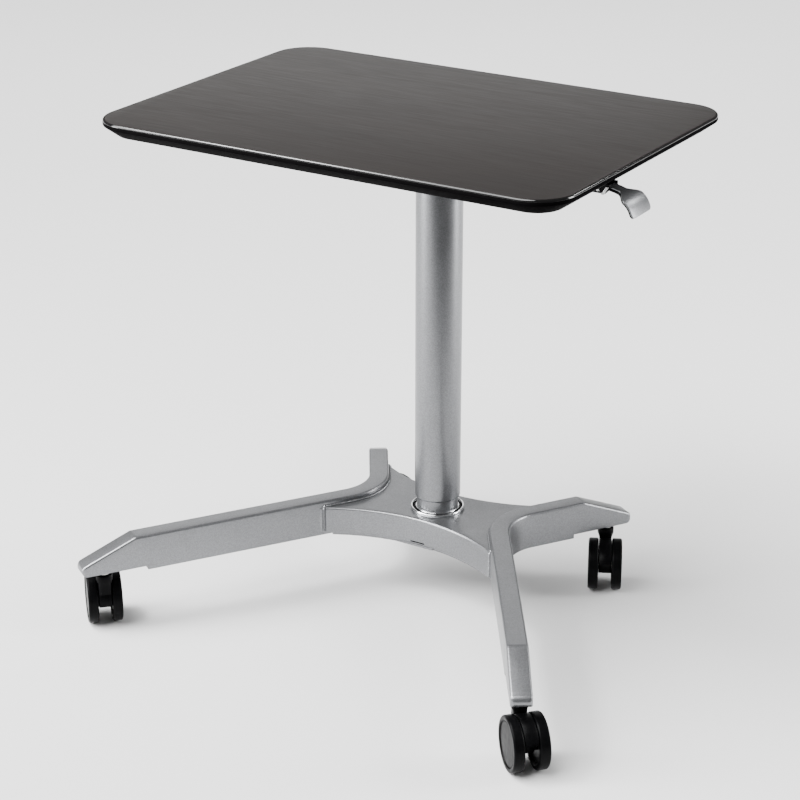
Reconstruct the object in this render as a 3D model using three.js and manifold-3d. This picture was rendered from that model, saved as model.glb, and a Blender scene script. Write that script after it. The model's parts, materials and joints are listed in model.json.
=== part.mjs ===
// A single-column standing desk on four twin-wheel casters, in its lowest position.
// Millimetres, +Z up, +Y to the back, the user in front at -Y. Inside this file the floor is
// z = 0 and the column stands on x = y = 0; the last lines move the origin to the middle of
// the footprint.

import * as THREE from 'three';
import { mergeVertices } from 'three/addons/utils/BufferGeometryUtils.js';
import Module from 'manifold-3d';

const wasm = await Module();
wasm.setup();

// ---------------------------------------------------------------- driving dimensions

const GAP = 0.3; // air left between pieces that touch
const STROKE = 390; // travel of the top, from 734 mm to 1124 mm

// worktop
const TOP_WIDTH = 700;
const TOP_DEPTH = 500;
const TOP_CORNER = 54;
const TOP_FACE = 734;
const TOP_THICK = 23;
const TOP_FORWARD = 75; // the worktop's middle lies this far in front of the column
const BAND_WALL = 2; // moulding round the worktop's edge
const BAND_SOFT = 1.5; // the moulding's top edge is eased by this much
const BEVEL_INSET = 20.5; // the underside slopes up to the edge over this width
const BEVEL_RISE = 15;

// legs: two bent bars, the bend towards the column
const LEG_WIDTH = 29;
const LEG_TOP = 138;
const LEG_BOTTOM = 84;
const LEG_KNEE_X = 99.6; // where the centre lines of a leg's two arms would meet
const LEG_FRONT_TIP = [354, -386];
const LEG_BACK_TIP = [217, 182];
const LEG_BEND = 78; // centre line radius of the bend
const LEG_SLOPE = 80; // the top face slopes down over this length at each tip
const LEG_RELIEF = 6; // the underside is raised by this much near each tip
const LEG_RELIEF_LENGTH = 97;
const LEG_NOSE = 9; // nose radius seen from the side
const LEG_CORNER = 6; // nose corners seen from above

// hub between the legs
const HUB_TOP = 129;
const HUB_BOTTOM = 88.6;
const HUB_WAIST = 51.8; // half depth at the column
const HUB_FLARE_RADIUS = 269; // both long sides are concave arcs
const HUB_WALL = 5;
const HUB_CROWN = 6; // thickness of its top
const BASE_PLATE = 3.4;
const BASE_TAB_WIDTH = 60; // the base plate's tab that reaches the hub's front face
const BASE_TAB_X = -8;

// column
const SLEEVE_RADIUS = 33;
const SLEEVE_WALL = 1.6;
const SLEEVE_BOTTOM = 149;
const SLEEVE_TOP = 681.5;
const SLEEVE_SHOULDER = 5; // the sleeve's lower end rolls inwards
const COLUMN_RADIUS = 30;
const COLUMN_WALL = 2.5;
const COLUMN_OVERLAP = 131; // length of column left in the sleeve at full height
const COLUMN_TOP = SLEEVE_BOTTOM + STROKE + COLUMN_OVERLAP;
const BUSH_WALL = 0.7;
const BUSH_LENGTH = 60;
const RING_RADIUS = 35.5;
const RING_SECTION = 3.4;
const FOOT_RADIUS = 44;
const FOOT_THICK = 11;
const CYLINDER_RADIUS = 14;
const CYLINDER_WALL = 2.4;
const CYLINDER_LENGTH = STROKE + 70;
const ROD_RADIUS = 5;
const ROD_NUT_RADIUS = 9.2; // across its corners
const ROD_NUT_HEIGHT = 5;
const PIN_RADIUS = 3;
const PIN_STAND = 6; // the release pin stands this far out of the cylinder
const CROSS_PIN_RADIUS = 2.5; // pivot pins of the rocker and of the lever
const ROCKER_X = 38;
const ROCKER_RISE = 9.5; // its pivot above the cylinder
const ROCKER_WIDTH = 14;
const ROCKER_THICK = 4;
const ROCKER_BOSS = 5.2;

// column head, bolted under the worktop
const HEAD_FLANGE = [200, 140, 4];
const HEAD_SCREW_INSET = 15; // from the flange's edges
const HEAD_PAN = [116, 76, 28];
const HEAD_WALL = 3;
const HEAD_COLLAR = 26;
const SCREW_RADIUS = 2.5;
const SCREW_LENGTH = 15;
const SCREW_HEAD = 4.8;
const SCREW_HEAD_HEIGHT = 3.2;
const SCREW_CROWN = 0.7; // share of the head's radius that is flat
const SCREW_RIM = 0.45; // share of its height that is the straight rim
const FOOT_BOLT_RADIUS = 4;
const FOOT_BOLT_CIRCLE = 33;
const FOOT_BOLT_HEAD = 6.5;
const FOOT_BOLT_HEIGHT = 3.4;

// release lever at the right edge of the worktop
const LEVER_Y = -140;
const LEVER_PIVOT = [318, 702.8];
const BRACKET_SCREW_X = 300;
const BRACKET_SCREW_SPREAD = 22; // from the middle of the bracket
const LEVER_FLARE = [346, 362]; // the cover widens from arm to paddle between these x
const LEVER_ARM_WIDTH = 17;
const PADDLE_WIDTH = 52;
const PADDLE_CORNER = 6;
const LEVER_COVER = 2;
const LEVER_BODY_ARM = 4; // thickness of the body under the arm
const LEVER_BODY_PADDLE = 1.8; // and under the paddle
const LEVER_BOSS = 4.5;
const BRACKET_BACK = 292;
const BRACKET_FRONT = 334;
const BRACKET_BOTTOM = 698;
const BRACKET_WALL = 2.5;
const BRACKET_ROUND = 4;
const BRACKET_CHAMFER = 6;
const BRACKET_FLANGE = [18, 60, 2.5];
const BRACE_WIDTH = 4;
const BRACE_LEAN = 7; // the brace leans outwards by this much over its height
const BRACE_THICK = 1.6;

// release cable
const CABLE_RADIUS = 2.5;
const CABLE_BORE = 3.4;
const CLIP_LENGTH = 10;
const CLIP_WALL = 1.6;
const CLIP_FOOT = [9, 1.8]; // the screwed foot's reach and thickness
const CLIPS = [0.3, 0.68]; // places along the cable

// casters
const STEM_INSET = 35; // from a leg's tip to the swivel axis
const TRAIL = 26; // from the swivel axis to the axle
const WHEEL_RADIUS = 37.5;
const WHEEL_WIDTH = 15;
const WHEEL_GAP = 19;
const AXLE_RADIUS = 4;
const NECK_RADIUS = 11.5;
const NECK_BOTTOM = 74.5;
const NECK_TOP = 86.4;
const STEM_RADIUS = 5.5;
const SOCKET_WALL = 2.6;
const CASTERS = [
  { name: 'front_left', side: -1, end: 'front', heading: 134 },
  { name: 'front_right', side: 1, end: 'front', heading: -44 },
  { name: 'back_left', side: -1, end: 'back', heading: 0 },
  { name: 'back_right', side: 1, end: 'back', heading: -63 },
];

// facets round a full turn
const ROUND = 40;
const ROUND_SMALL = 16;

// ---------------------------------------------------------------- materials

const silver = new THREE.MeshStandardMaterial({ color: 0x9b9da0, roughness: 0.42, metalness: 0.75 });
const chrome = new THREE.MeshStandardMaterial({ color: 0xe6e8ea, roughness: 0.08, metalness: 1 });
const steel = new THREE.MeshStandardMaterial({ color: 0xb4b6b8, roughness: 0.35, metalness: 1 });
const laminate = new THREE.MeshStandardMaterial({ color: 0x403b38, roughness: 0.45, metalness: 0 });
const blackEdge = new THREE.MeshStandardMaterial({ color: 0x161517, roughness: 0.4, metalness: 0 });
const nylon = new THREE.MeshStandardMaterial({ color: 0x0c0c0d, roughness: 0.45, metalness: 0 });
const acetal = new THREE.MeshStandardMaterial({ color: 0xd9d8d2, roughness: 0.5, metalness: 0 });
const blackPaint = new THREE.MeshStandardMaterial({ color: 0x1a1a1c, roughness: 0.5, metalness: 0.4 });

// ---------------------------------------------------------------- shape helpers

const radians = THREE.MathUtils.degToRad;

// A closed three.js geometry as a manifold solid.
function solid(geometry) {
  const bare = geometry.clone();
  bare.deleteAttribute('normal');
  bare.deleteAttribute('uv');
  const merged = mergeVertices(bare, 1e-4);
  const index = merged.index.array;
  const corners = [];
  for (let i = 0; i < index.length; i += 3) {
    const [a, b, c] = [index[i], index[i + 1], index[i + 2]];
    if (a !== b && b !== c && c !== a) corners.push(a, b, c);
  }
  return new wasm.Manifold(new wasm.Mesh({
    numProp: 3,
    vertProperties: Float32Array.from(merged.attributes.position.array),
    triVerts: Uint32Array.from(corners),
  }));
}

// A manifold solid as a three.js geometry.
function geometryOf(body) {
  const mesh = body.getMesh();
  const geometry = new THREE.BufferGeometry();
  geometry.setAttribute('position', new THREE.BufferAttribute(mesh.vertProperties, 3));
  geometry.setIndex(new THREE.BufferAttribute(mesh.triVerts, 1));
  return geometry;
}

function joined(...geometries) {
  return geometryOf(geometries.map(solid).reduce((sum, next) => sum.add(next)));
}

function cut(geometry, ...tools) {
  return geometryOf(tools.map(solid).reduce((body, tool) => body.subtract(tool), solid(geometry)));
}

// A profile of [radius, height] points turned about the z axis.
function turned(profile, facets = ROUND) {
  const points = profile.map(([r, z]) => new THREE.Vector2(r, z));
  return new THREE.LatheGeometry(points, facets).rotateX(Math.PI / 2);
}

function rod(radius, bottom, top, facets = ROUND_SMALL) {
  return turned([[0, bottom], [radius, bottom], [radius, top], [0, top]], facets);
}

function tube(inner, outer, bottom, top, facets = ROUND) {
  return turned([[inner, bottom], [outer, bottom], [outer, top], [inner, top], [inner, bottom]], facets);
}

function block(low, high) {
  const size = high.map((value, axis) => value - low[axis]);
  const middle = high.map((value, axis) => (value + low[axis]) / 2);
  return new THREE.BoxGeometry(...size).translate(...middle);
}

function prism(shape, bottom, top, curveSegments = 10) {
  const settings = { depth: top - bottom, bevelEnabled: false, curveSegments };
  return new THREE.ExtrudeGeometry(shape, settings).translate(0, 0, bottom);
}

// A side view, drawn as [along, up], made into a plate across the y axis.
function sidePlate(shape, centreY, width, curveSegments = 8) {
  return prism(shape, -width / 2, width / 2, curveSegments)
    .rotateX(Math.PI / 2)
    .translate(0, centreY, 0);
}

// A cylinder whose axis lies along y.
function crossRod(radius, x, z, lowY, highY, facets = ROUND_SMALL) {
  return rod(radius, lowY, highY, facets).rotateX(-Math.PI / 2).translate(x, 0, z);
}

// ---------------------------------------------------------------- worktop

// The worktop's rounded rectangle, drawn in by an inset.
function topOutline(inset) {
  const x = TOP_WIDTH / 2 - inset;
  const y = TOP_DEPTH / 2 - inset;
  const r = TOP_CORNER - inset;
  const outline = new THREE.Shape();
  outline.absarc(x - r, y - r, r, 0, Math.PI / 2);
  outline.absarc(r - x, y - r, r, Math.PI / 2, Math.PI);
  outline.absarc(r - x, r - y, r, Math.PI, Math.PI * 1.5);
  outline.absarc(x - r, r - y, r, Math.PI * 1.5, Math.PI * 2);
  return outline.getPoints(4);
}

// A solid whose outline changes from level to level: levels are [height, inset].
function stacked(levels) {
  const rings = levels.map(([, inset]) => topOutline(inset));
  const count = rings[0].length;
  const positions = [];
  levels.forEach(([z], level) => {
    rings[level].forEach((point) => positions.push(point.x, point.y - TOP_FORWARD, z));
  });
  const index = [];
  for (let level = 0; level + 1 < levels.length; level += 1) {
    for (let i = 0; i < count; i += 1) {
      const next = (i + 1) % count;
      const [a, b] = [level * count + i, level * count + next];
      index.push(a, b, b + count, a, b + count, a + count);
    }
  }
  const last = (levels.length - 1) * count;
  for (const [a, b, c] of THREE.ShapeUtils.triangulateShape(rings[0], [])) {
    index.push(c, b, a, last + a, last + b, last + c);
  }
  const geometry = new THREE.BufferGeometry();
  geometry.setAttribute('position', new THREE.Float32BufferAttribute(positions, 3));
  geometry.setIndex(index);
  return geometry;
}

const UNDERSIDE = TOP_FACE - TOP_THICK;
const BEVEL_TOP = UNDERSIDE + BEVEL_RISE;
const BAND_INSIDE = [
  [UNDERSIDE, BEVEL_INSET + BAND_WALL],
  [BEVEL_TOP, BAND_WALL],
  [TOP_FACE, BAND_WALL],
];

function edgeBand() {
  const outside = stacked([
    [UNDERSIDE, BEVEL_INSET],
    [BEVEL_TOP, 0],
    [TOP_FACE - BAND_SOFT, 0],
    [TOP_FACE, BAND_SOFT],
  ]);
  const inside = stacked([
    [UNDERSIDE - 1, BEVEL_INSET + BAND_WALL],
    ...BAND_INSIDE,
    [TOP_FACE + 1, BAND_WALL],
  ]);
  return cut(outside, inside);
}

const HEAD_SCREWS = [];
for (const x of [-1, 1]) {
  for (const y of [-1, 1]) {
    HEAD_SCREWS.push([x * (HEAD_FLANGE[0] / 2 - HEAD_SCREW_INSET), y * (HEAD_FLANGE[1] / 2 - HEAD_SCREW_INSET)]);
  }
}
const BRACKET_SCREWS = [-1, 1].map((side) => (
  [BRACKET_SCREW_X, LEVER_Y + side * BRACKET_SCREW_SPREAD]
));

function worktop() {
  const board = stacked(BAND_INSIDE.map(([z, inset]) => [z, inset + GAP]));
  const pilots = [...HEAD_SCREWS, ...BRACKET_SCREWS].map(([x, y]) => (
    rod(SCREW_RADIUS + GAP, UNDERSIDE - 1, UNDERSIDE + SCREW_LENGTH, 12).translate(x, y, 0)
  ));
  return cut(board, ...pilots);
}

// A pan-head screw driven upwards, its head's underside seat at the given height.
function screw([x, y], seat) {
  return turned([
    [0, seat - SCREW_HEAD_HEIGHT], [SCREW_HEAD * SCREW_CROWN, seat - SCREW_HEAD_HEIGHT],
    [SCREW_HEAD, seat - SCREW_HEAD_HEIGHT * SCREW_RIM], [SCREW_HEAD, seat - GAP],
    [SCREW_RADIUS, seat - GAP], [SCREW_RADIUS, seat + SCREW_LENGTH], [0, seat + SCREW_LENGTH + 1.5],
  ], 12).translate(x, y, 0);
}

// ---------------------------------------------------------------- legs

const knee = new THREE.Vector2(LEG_KNEE_X, 0);
const frontTip = new THREE.Vector2(...LEG_FRONT_TIP);
const backTip = new THREE.Vector2(...LEG_BACK_TIP);
const frontArm = frontTip.clone().sub(knee).normalize(); // from the knee to the tip
const backArm = backTip.clone().sub(knee).normalize();
const halfKnee = Math.acos(frontArm.dot(backArm)) / 2;
const bendMiddle = frontArm.clone().add(backArm).normalize()
  .multiplyScalar(LEG_BEND / Math.sin(halfKnee)).add(knee);

// One side of the right leg's outline: offset is positive towards the column.
function legSide(offset) {
  const arc = new THREE.EllipseCurve(
    bendMiddle.x, bendMiddle.y, LEG_BEND + offset, LEG_BEND + offset,
    sideways(frontArm, -1).angle(), sideways(backArm, 1).angle(), true,
  );
  const frontEnd = frontTip.clone().add(sideways(frontArm, -offset));
  const backEnd = backTip.clone().add(sideways(backArm, offset));
  return [frontEnd, ...arc.getPoints(12), backEnd];
}

function sideways(arm, distance) {
  return new THREE.Vector2(-arm.y, arm.x).multiplyScalar(distance);
}

// The outline of one leg seen from above, with its nose corners rounded.
function legOutline(side, margin = 0) {
  const half = LEG_WIDTH / 2 + margin;
  const columnSide = legSide(half);
  const outerSide = legSide(-half).reverse();
  const shape = new THREE.Shape();
  const round = LEG_CORNER;
  const [frontA, frontB] = [columnSide[0], outerSide[outerSide.length - 1]];
  const [backA, backB] = [columnSide[columnSide.length - 1], outerSide[0]];
  const from = (corner, towards) => corner.clone()
    .add(towards.clone().sub(corner).setLength(round));
  const start = from(frontA, columnSide[1]);
  shape.moveTo(start.x, start.y);
  columnSide.slice(1, -1).forEach((point) => shape.lineTo(point.x, point.y));
  roundCorner(shape, from(backA, columnSide[columnSide.length - 2]), backA, from(backA, backB));
  roundCorner(shape, from(backB, backA), backB, from(backB, outerSide[1]));
  outerSide.slice(1, -1).forEach((point) => shape.lineTo(point.x, point.y));
  roundCorner(shape, from(frontB, outerSide[outerSide.length - 2]), frontB, from(frontB, frontA));
  roundCorner(shape, from(frontA, frontB), frontA, start);
  const points = shape.getPoints(5).map((point) => new THREE.Vector2(point.x * side, point.y));
  return new THREE.Shape(points);
}

function roundCorner(shape, before, corner, after) {
  shape.lineTo(before.x, before.y);
  shape.quadraticCurveTo(corner.x, corner.y, after.x, after.y);
}

// Everything that is cut away at a leg's tip, drawn as [distance from the tip, height].
function tipCutter(tip, arm, side) {
  const under = LEG_BOTTOM + LEG_RELIEF;
  const nose = [LEG_NOSE, under + LEG_NOSE];
  const rise = LEG_TOP - nose[1];
  const run = LEG_SLOPE - nose[0];
  const lean = Math.atan2(rise, run) - Math.asin(LEG_NOSE / Math.hypot(rise, run));
  const shape = new THREE.Shape();
  shape.moveTo(-20, LEG_TOP + 20);
  shape.lineTo(LEG_SLOPE, LEG_TOP + 20);
  shape.lineTo(LEG_SLOPE, LEG_TOP);
  shape.absarc(nose[0], nose[1], LEG_NOSE, Math.PI / 2 + lean, Math.PI * 1.5, false);
  shape.lineTo(LEG_RELIEF_LENGTH, under);
  shape.lineTo(LEG_RELIEF_LENGTH, LEG_BOTTOM - 20);
  shape.lineTo(-20, LEG_BOTTOM - 20);
  shape.closePath();
  const inward = new THREE.Vector3(-arm.x * side, -arm.y, 0);
  const up = new THREE.Vector3(0, 0, 1);
  const across = new THREE.Vector3().crossVectors(inward, up);
  const place = new THREE.Matrix4().makeBasis(inward, up, across);
  place.setPosition(tip.x * side, tip.y, 0);
  return prism(shape, -LEG_WIDTH, LEG_WIDTH, 8).applyMatrix4(place);
}

function stemPlace({ side, end }) {
  const [tip, arm] = end === 'front' ? [frontTip, frontArm] : [backTip, backArm];
  return [(tip.x - arm.x * STEM_INSET) * side, tip.y - arm.y * STEM_INSET];
}

const SOCKET_BOTTOM = LEG_BOTTOM + LEG_RELIEF + GAP;
const SOCKET_TOP = SOCKET_BOTTOM + 20;

function leg(side) {
  const bores = CASTERS.filter((caster) => caster.side === side).map((caster) => (
    rod(STEM_RADIUS + SOCKET_WALL + 2 * GAP, LEG_BOTTOM, SOCKET_TOP + GAP)
      .translate(...stemPlace(caster), 0)
  ));
  return cut(
    prism(legOutline(side), LEG_BOTTOM, LEG_TOP),
    tipCutter(frontTip, frontArm, side),
    tipCutter(backTip, backArm, side),
    ...bores,
  );
}

// ---------------------------------------------------------------- hub

// The bow-tie between the legs: concave front and back, drawn in by an inset.
function hubOutline(inset) {
  const reach = 150;
  const flare = (x) => (
    HUB_WAIST - inset + HUB_FLARE_RADIUS - Math.sqrt(HUB_FLARE_RADIUS ** 2 - x ** 2)
  );
  const steps = 14;
  const front = [];
  const back = [];
  for (let i = 0; i <= steps; i += 1) {
    const x = reach * (2 * i / steps - 1);
    front.push(new THREE.Vector2(x, -flare(x)));
    back.push(new THREE.Vector2(-x, flare(x)));
  }
  const waist = new THREE.Vector2(LEG_KNEE_X + 22, 0);
  return new THREE.Shape([...front, waist, ...back, waist.clone().negate()]);
}

function legRoom(margin) {
  return [-1, 1].map((side) => prism(legOutline(side, margin), 0, LEG_TOP + 20));
}

function hub() {
  const outside = prism(hubOutline(0), HUB_BOTTOM, HUB_TOP);
  const hollow = cut(prism(hubOutline(HUB_WALL), 0, HUB_TOP - HUB_CROWN), ...legRoom(HUB_WALL));
  const columnHole = rod(COLUMN_RADIUS + GAP, HUB_BOTTOM, HUB_TOP + 1, ROUND);
  return cut(outside, ...legRoom(GAP), hollow, columnHole);
}

const PLATE_TOP = HUB_BOTTOM - GAP;
const PLATE_BOTTOM = PLATE_TOP - BASE_PLATE;
const FOOT_BOLTS = [90, 210, 330].map((angle) => [
  FOOT_BOLT_CIRCLE * Math.cos(radians(angle)), FOOT_BOLT_CIRCLE * Math.sin(radians(angle)),
]);

function basePlate() {
  const plate = cut(prism(hubOutline(HUB_WALL - 1), PLATE_BOTTOM, PLATE_TOP), ...legRoom(HUB_WALL));
  const tab = block(
    [BASE_TAB_X - BASE_TAB_WIDTH / 2, -HUB_WAIST + 0.8, PLATE_BOTTOM],
    [BASE_TAB_X + BASE_TAB_WIDTH / 2, -HUB_WAIST / 2, PLATE_TOP],
  );
  const holes = FOOT_BOLTS.map(([x, y]) => (
    rod(FOOT_BOLT_RADIUS + GAP, PLATE_BOTTOM - 1, PLATE_TOP + 1).translate(x, y, 0)
  ));
  const rodHole = rod(ROD_RADIUS + GAP, PLATE_BOTTOM - 1, PLATE_TOP + 1);
  return cut(joined(plate, tab), ...holes, rodHole);
}

// ---------------------------------------------------------------- column

const FOOT_BOTTOM = HUB_BOTTOM + GAP;
const FOOT_TOP = FOOT_BOTTOM + FOOT_THICK;

function columnFoot() {
  const disc = rod(FOOT_RADIUS, FOOT_BOTTOM, FOOT_TOP, ROUND);
  const holes = FOOT_BOLTS.map(([x, y]) => (
    rod(FOOT_BOLT_RADIUS + GAP, FOOT_BOTTOM - 1, FOOT_TOP + 1).translate(x, y, 0)
  ));
  return cut(disc, ...holes, rod(ROD_RADIUS + GAP, FOOT_BOTTOM - 1, FOOT_TOP + 1));
}

function footBolt([x, y]) {
  const seat = PLATE_BOTTOM - GAP;
  return turned([
    [0, seat - FOOT_BOLT_HEIGHT], [FOOT_BOLT_HEAD - 1, seat - FOOT_BOLT_HEIGHT],
    [FOOT_BOLT_HEAD, seat - FOOT_BOLT_HEIGHT + 1],
    [FOOT_BOLT_HEAD, seat], [FOOT_BOLT_RADIUS, seat], [FOOT_BOLT_RADIUS, FOOT_TOP - 1],
    [0, FOOT_TOP - 1],
  ], ROUND_SMALL).translate(x, y, 0);
}

// The bright ring that lies on the hub round the column.
function trimRing() {
  const profile = [];
  const facets = 8;
  for (let i = 0; i <= facets; i += 1) {
    const angle = 2 * Math.PI * i / facets;
    profile.push([
      RING_RADIUS + RING_SECTION * Math.cos(angle),
      HUB_TOP + GAP + RING_SECTION * (1 + Math.sin(angle)),
    ]);
  }
  return turned(profile, ROUND);
}

function outerSleeve() {
  const inner = SLEEVE_RADIUS - SLEEVE_WALL;
  const roll = SLEEVE_SHOULDER;
  return turned([
    [inner, SLEEVE_BOTTOM + roll],
    [COLUMN_RADIUS + GAP, SLEEVE_BOTTOM + roll * 0.35],
    [COLUMN_RADIUS + GAP, SLEEVE_BOTTOM],
    [SLEEVE_RADIUS - 1.3, SLEEVE_BOTTOM],
    [SLEEVE_RADIUS - 0.4, SLEEVE_BOTTOM + roll * 0.3],
    [SLEEVE_RADIUS, SLEEVE_BOTTOM + roll * 0.8],
    [SLEEVE_RADIUS, SLEEVE_TOP],
    [inner, SLEEVE_TOP],
    [inner, SLEEVE_BOTTOM + roll],
  ]);
}

// A thin liner between the column and the sleeve.
function bush(bottom) {
  const inner = COLUMN_RADIUS + GAP * 0.75;
  return tube(inner, inner + BUSH_WALL, bottom, bottom + BUSH_LENGTH);
}

// The lift cylinder: open below for its rod, closed above round the release pin.
const CYLINDER_TOP = SLEEVE_TOP + 10;
const CYLINDER_BOTTOM = CYLINDER_TOP - CYLINDER_LENGTH;

function liftCylinder() {
  const bore = CYLINDER_RADIUS - CYLINDER_WALL;
  return turned([
    [ROD_RADIUS + GAP, CYLINDER_BOTTOM], [CYLINDER_RADIUS, CYLINDER_BOTTOM],
    [CYLINDER_RADIUS, CYLINDER_TOP], [PIN_RADIUS + GAP, CYLINDER_TOP],
    [PIN_RADIUS + GAP, CYLINDER_TOP - 8], [bore, CYLINDER_TOP - 8],
    [bore, CYLINDER_BOTTOM + 12], [ROD_RADIUS + GAP, CYLINDER_BOTTOM + 12],
    [ROD_RADIUS + GAP, CYLINDER_BOTTOM],
  ], 24);
}

const PISTON_TOP = CYLINDER_TOP - 24;

function pistonRod() {
  const piston = CYLINDER_RADIUS - CYLINDER_WALL - GAP;
  return turned([
    [0, PLATE_BOTTOM - 8], [ROD_RADIUS, PLATE_BOTTOM - 8], [ROD_RADIUS, PISTON_TOP - 14],
    [piston, PISTON_TOP - 14], [piston, PISTON_TOP], [0, PISTON_TOP],
  ]);
}

function rodNut() {
  const top = PLATE_BOTTOM - GAP;
  return cut(
    rod(ROD_NUT_RADIUS, top - ROD_NUT_HEIGHT, top, 6),
    rod(ROD_RADIUS + GAP, top - ROD_NUT_HEIGHT - 1, top + 1),
  );
}

// ---------------------------------------------------------------- column head

// The release cable's line, from the lever's bracket to the column head.
const CABLE_LEVER = new THREE.Vector3(295, LEVER_Y, 701);
const CABLE_HEAD = new THREE.Vector3(HEAD_PAN[0] / 2 - 2, -16, 701);
const CABLE_ROUTE = new THREE.CatmullRomCurve3([
  CABLE_LEVER,
  new THREE.Vector3(270, LEVER_Y, 702),
  new THREE.Vector3(235, LEVER_Y + 8, 705),
  new THREE.Vector3(190, LEVER_Y + 40, 706),
  new THREE.Vector3(145, LEVER_Y + 84, 706),
  new THREE.Vector3(110, -24, 703.5),
  new THREE.Vector3(82, -16.5, 701.5),
  CABLE_HEAD,
]);

const HEAD_TOP = UNDERSIDE - GAP;
const PAN_BOTTOM = HEAD_TOP - HEAD_PAN[2];
const ROCKER_PIVOT = [ROCKER_X, CYLINDER_TOP + ROCKER_RISE];

function columnHead() {
  const [flangeX, flangeY, flangeZ] = HEAD_FLANGE;
  const [panX, panY] = HEAD_PAN;
  const outside = joined(
    block([-flangeX / 2, -flangeY / 2, HEAD_TOP - flangeZ], [flangeX / 2, flangeY / 2, HEAD_TOP]),
    block([-panX / 2, -panY / 2, PAN_BOTTOM], [panX / 2, panY / 2, HEAD_TOP - 1]),
    rod(SLEEVE_RADIUS + GAP + 4, PAN_BOTTOM - HEAD_COLLAR, PAN_BOTTOM + 1, ROUND),
  );
  const [insideX, insideY] = [panX / 2 - HEAD_WALL, panY / 2 - HEAD_WALL];
  const hollow = block(
    [-insideX, -insideY, PAN_BOTTOM + HEAD_WALL],
    [insideX, insideY, HEAD_TOP + 1],
  );
  const sleeveSeat = rod(SLEEVE_RADIUS + GAP, PAN_BOTTOM - HEAD_COLLAR - 1, SLEEVE_TOP + GAP, ROUND);
  const cylinderHole = rod(CYLINDER_RADIUS + GAP, SLEEVE_TOP - 1, HEAD_TOP, 24);
  const screwHoles = HEAD_SCREWS.map(([x, y]) => (
    rod(SCREW_RADIUS + GAP, HEAD_TOP - 10, HEAD_TOP + 1, 12).translate(x, y, 0)
  ));
  const pinHole = crossRod(CROSS_PIN_RADIUS + GAP, ...ROCKER_PIVOT, -panY, panY);
  const cableHole = rod(CABLE_BORE, -20, 20).rotateY(Math.PI / 2)
    .translate(panX / 2, CABLE_HEAD.y, CABLE_HEAD.z);
  return cut(outside, hollow, sleeveSeat, cylinderHole, ...screwHoles, pinHole, cableHole);
}

// The rocker that presses the release pin.
function releaseArm() {
  const half = ROCKER_WIDTH / 2;
  const low = CYLINDER_TOP + PIN_STAND + 2 * GAP;
  const plate = block([-half, -half, low], [ROCKER_X + 6, half, low + ROCKER_THICK]);
  const boss = crossRod(ROCKER_BOSS, ...ROCKER_PIVOT, -half, half);
  const bore = crossRod(CROSS_PIN_RADIUS + GAP, ...ROCKER_PIVOT, -half - 1, half + 1);
  return cut(joined(plate, boss), bore);
}

function releasePin() {
  return rod(PIN_RADIUS, CYLINDER_TOP - 7, CYLINDER_TOP + PIN_STAND);
}

function armPin() {
  const half = HEAD_PAN[1] / 2 + 1.5;
  return crossRod(CROSS_PIN_RADIUS, ...ROCKER_PIVOT, -half, half);
}

// ---------------------------------------------------------------- release lever

// The lever's top surface seen from the front, from under the worktop out to the paddle's lip.
const LEVER_LINE = new THREE.CatmullRomCurve3([
  new THREE.Vector3(302, 0, 708.4),
  new THREE.Vector3(318, 0, 708.6),
  new THREE.Vector3(331, 0, 708),
  new THREE.Vector3(LEVER_FLARE[0], 0, 704.6),
  new THREE.Vector3(360, 0, 698),
  new THREE.Vector3(369, 0, 689.5),
  new THREE.Vector3(375, 0, 677),
]);

// Share of the way from arm to paddle.
function leverFlare(x) {
  return THREE.MathUtils.smoothstep(x, ...LEVER_FLARE);
}

// Half width of the lever: a parallel arm that flares into the paddle, whose corners are round.
function leverHalfWidth(x, toEnd) {
  const half = THREE.MathUtils.lerp(LEVER_ARM_WIDTH, PADDLE_WIDTH, leverFlare(x)) / 2;
  const into = Math.max(0, 1 - toEnd / PADDLE_CORNER);
  return half - PADDLE_CORNER * (1 - Math.sqrt(1 - into ** 2));
}

// A sheet that follows the lever's line between two depths below its top surface.
function leverSheet(upper, lowerAt, startX, trim) {
  const steps = 24;
  const positions = [];
  const index = [];
  const rows = [];
  for (let i = 0; i <= steps; i += 1) {
    const point = LEVER_LINE.getPointAt(i / steps);
    if (point.x >= startX) rows.push({ point, along: i / steps });
  }
  rows.forEach(({ point, along }) => {
    const tangent = LEVER_LINE.getTangentAt(along);
    const down = new THREE.Vector3(tangent.z, 0, -tangent.x);
    const toEnd = (1 - along) * LEVER_LINE.getLength();
    const half = leverHalfWidth(point.x, toEnd) - trim;
    const lower = lowerAt(point.x);
    for (const [depth, y] of [[upper, -half], [upper, half], [lower, half], [lower, -half]]) {
      const at = point.clone().addScaledVector(down, depth);
      positions.push(at.x, LEVER_Y + y, at.z);
    }
  });
  for (let row = 0; row + 1 < rows.length; row += 1) {
    for (let i = 0; i < 4; i += 1) {
      const [a, b] = [row * 4 + i, row * 4 + (i + 1) % 4];
      index.push(a, b + 4, b, a, a + 4, b + 4);
    }
  }
  const last = (rows.length - 1) * 4;
  index.push(0, 1, 2, 0, 2, 3, last, last + 2, last + 1, last, last + 3, last + 2);
  const geometry = new THREE.BufferGeometry();
  geometry.setAttribute('position', new THREE.Float32BufferAttribute(positions, 3));
  geometry.setIndex(index);
  return geometry;
}

function leverCover() {
  return leverSheet(0, () => LEVER_COVER, BRACKET_FRONT - 3, 0);
}

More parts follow.
